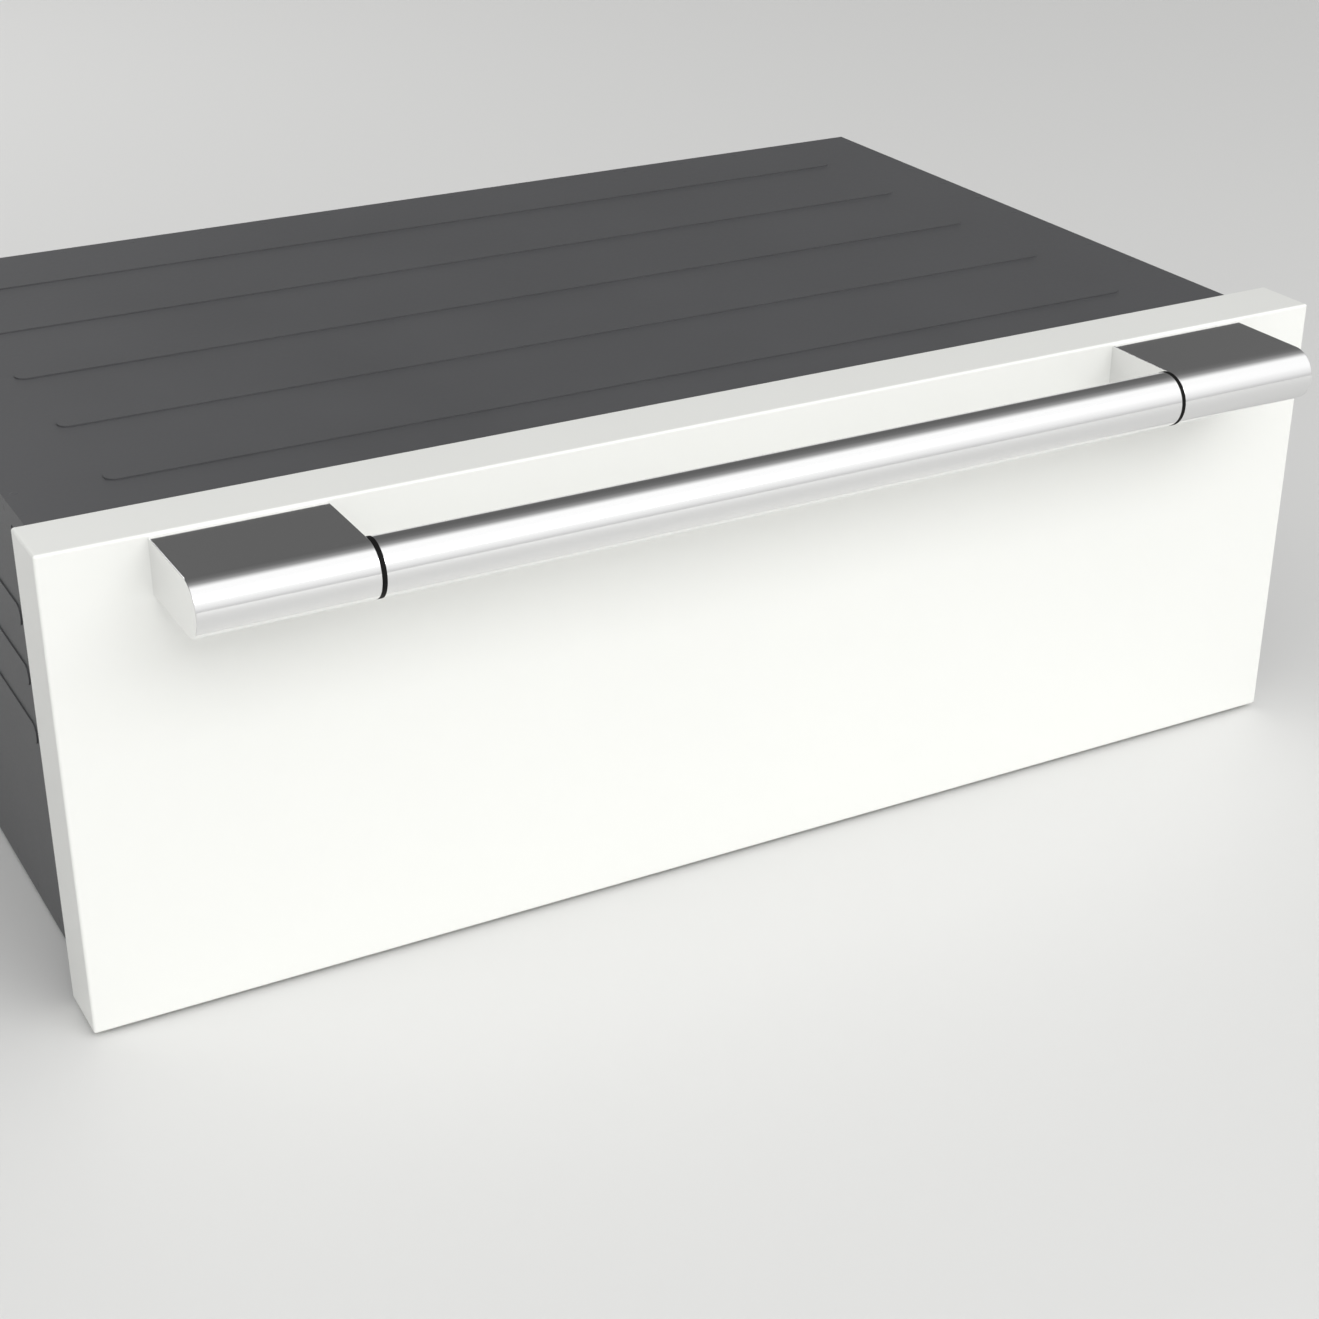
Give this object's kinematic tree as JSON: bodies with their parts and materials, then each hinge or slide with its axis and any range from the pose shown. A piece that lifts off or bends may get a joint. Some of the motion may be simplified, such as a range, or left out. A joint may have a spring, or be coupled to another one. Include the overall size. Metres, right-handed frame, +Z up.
{
  "type": "built in dishwasher",
  "caption": "Drawer-type built-in dishwasher: wide white front with a bar handle, sliding tub with rack, spray arms and lifting lid.",
  "frame": {"origin": "middle of the overall box in X and Y, on the plane the skids stand on", "axes": "+X right as seen from the front, -Y towards the user, +Z up"},
  "size_m": [0.895, 0.6756, 0.315],
  "materials": {
    "arm_grey": "mid-grey plastic",
    "basket_grey": "grey plastic",
    "black_trim": "black plastic",
    "chassis_coat": "graphite grey pre-coated sheet steel",
    "chrome": "bright polished chrome",
    "core_felt": "dense damping felt",
    "dark_plastic": "dark grey plastic",
    "fascia": "white plastic",
    "front_white": "smooth white enamel, satin gloss",
    "galvanised": "zinc-coated sheet steel",
    "gasket_grey": "soft grey elastomer",
    "motor": "dark painted steel can",
    "rubber": "soft black rubber",
    "screws": "plated steel screws",
    "steel": "stainless steel",
    "tub_grey": "moulded light-grey plastic",
    "window": "dark tinted plastic window",
    "wire_coat": "grey plastic-coated steel wire"
  },
  "bodies": {
    "chassis": {"side_panel_left": "chassis_coat", "side_panel_right": "chassis_coat", "base_pan": "galvanised", "top_panel": "chassis_coat", "back_panel": "chassis_coat", "front_frame": "steel", "base_skids": "dark_plastic", "slide_outer_left": "steel", "slide_outer_right": "steel", "inlet_valve": "dark_plastic", "drain_spigot": "dark_plastic", "junction_box": "dark_plastic", "lid_guides": "dark_plastic", "chassis_screws": "screws"},
    "slide_middles": {"slide_middle_left": "steel", "slide_middle_right": "steel"},
    "drawer": {"slide_inner_left": "steel", "slide_inner_right": "steel", "front_skin": "front_white", "front_core": "core_felt", "front_inner_panel": "galvanised", "front_seal": "rubber", "front_bridge": "dark_plastic", "handle_block_left": "chrome", "handle_block_right": "chrome", "handle_bar": "chrome", "handle_rings": "black_trim", "handle_screws": "screws", "tub": "tub_grey", "tub_gasket": "gasket_grey", "sump": "dark_plastic", "filter_plate": "steel", "heating_element": "steel", "wash_manifold": "dark_plastic", "wash_pump": "dark_plastic", "wash_motor": "motor", "drain_pump": "dark_plastic", "rack_floor": "wire_coat", "rack_sides": "wire_coat", "rack_ends": "wire_coat", "tine_rows_fixed": "wire_coat", "cutlery_basket": "basket_grey", "dispenser_body": "arm_grey", "control_fascia": "fascia", "display_window": "window", "service_hose": "rubber"},
    "lid": {"tub_lid": "tub_grey"},
    "spray_arm_left": {"spray_arm_left": "arm_grey"},
    "spray_arm_right": {"spray_arm_right": "arm_grey"},
    "wash_rotor": {"wash_rotor": "steel"},
    "drain_rotor": {"drain_rotor": "arm_grey"},
    "tine_row_left": {"tine_row_left": "wire_coat"},
    "tine_row_centre": {"tine_row_centre": "wire_coat"},
    "cup_shelf": {"cup_shelf": "wire_coat"},
    "dispenser_lid": {"dispenser_lid": "dark_plastic"},
    "rinse_cap": {"rinse_cap": "dark_plastic"},
    "filter_cup": {"filter_cup": "arm_grey"},
    "button_power": {"button_power": "fascia"},
    "button_program": {"button_program": "fascia"},
    "button_start": {"button_start": "fascia"}
  },
  "joints": [
    {"name": "drawer_slide", "type": "slide", "parent": "chassis", "child": "drawer", "axis": [0, -1, 0], "range_m": [0, 0.46], "deforming": ["service_hose"]},
    {"name": "middle_slide", "type": "slide", "parent": "chassis", "child": "slide_middles", "axis": [0, -1, 0], "range_m": [0, 0.23]},
    {"name": "lid_lift", "type": "slide", "parent": "chassis", "child": "lid", "axis": [0, 0, 1], "range_m": [0, 0.008]},
    {"name": "arm_left_spin", "type": "hinge", "parent": "drawer", "child": "spray_arm_left", "pos_m": [-0.206, 0.04275, 0.079], "axis": [0, 0, 1], "continuous": true},
    {"name": "arm_right_spin", "type": "hinge", "parent": "drawer", "child": "spray_arm_right", "pos_m": [0.206, 0.04275, 0.079], "axis": [0, 0, 1], "continuous": true},
    {"name": "wash_rotor_spin", "type": "hinge", "parent": "drawer", "child": "wash_rotor", "pos_m": [0.088, 0.08775, 0.0395], "axis": [1, 0, 0], "continuous": true},
    {"name": "drain_rotor_spin", "type": "hinge", "parent": "drawer", "child": "drain_rotor", "pos_m": [-0.088, 0.08775, 0.0395], "axis": [-1, 0, 0], "continuous": true},
    {"name": "tine_left_fold", "type": "hinge", "parent": "drawer", "child": "tine_row_left", "pos_m": [-0.25833, 0, 0.1043], "axis": [0, 1, 0], "range_deg": [0, 80]},
    {"name": "tine_centre_fold", "type": "hinge", "parent": "drawer", "child": "tine_row_centre", "pos_m": [-0.15833, 0, 0.1043], "axis": [0, 1, 0], "range_deg": [0, 80]},
    {"name": "cup_shelf_fold", "type": "hinge", "parent": "drawer", "child": "cup_shelf", "pos_m": [-0.392, 0, 0.165], "axis": [0, 1, 0], "range_deg": [0, 88]},
    {"name": "dispenser_lid_slide", "type": "slide", "parent": "drawer", "child": "dispenser_lid", "axis": [1, 0, 0], "range_m": [0, 0.046]},
    {"name": "rinse_cap_turn", "type": "hinge", "parent": "drawer", "child": "rinse_cap", "pos_m": [-0.04, -0.16325, 0.169], "axis": [0, 1, 0], "range_deg": [0, 90]},
    {"name": "filter_cup_turn", "type": "hinge", "parent": "drawer", "child": "filter_cup", "pos_m": [0, 0.04275, 0.069], "axis": [0, 0, 1], "range_deg": [0, 90]},
    {"name": "press_power", "type": "slide", "parent": "drawer", "child": "button_power", "axis": [0, 0, -1], "range_m": [0, 0.0012], "stiffness_N_per_m": 800},
    {"name": "press_program", "type": "slide", "parent": "drawer", "child": "button_program", "axis": [0, 0, -1], "range_m": [0, 0.0012], "stiffness_N_per_m": 800},
    {"name": "press_start", "type": "slide", "parent": "drawer", "child": "button_start", "axis": [0, 0, -1], "range_m": [0, 0.0012], "stiffness_N_per_m": 800}
  ],
  "couplings": [
    {"joint": "middle_slide", "follows": "drawer_slide", "ratio": 0.5}
  ]
}
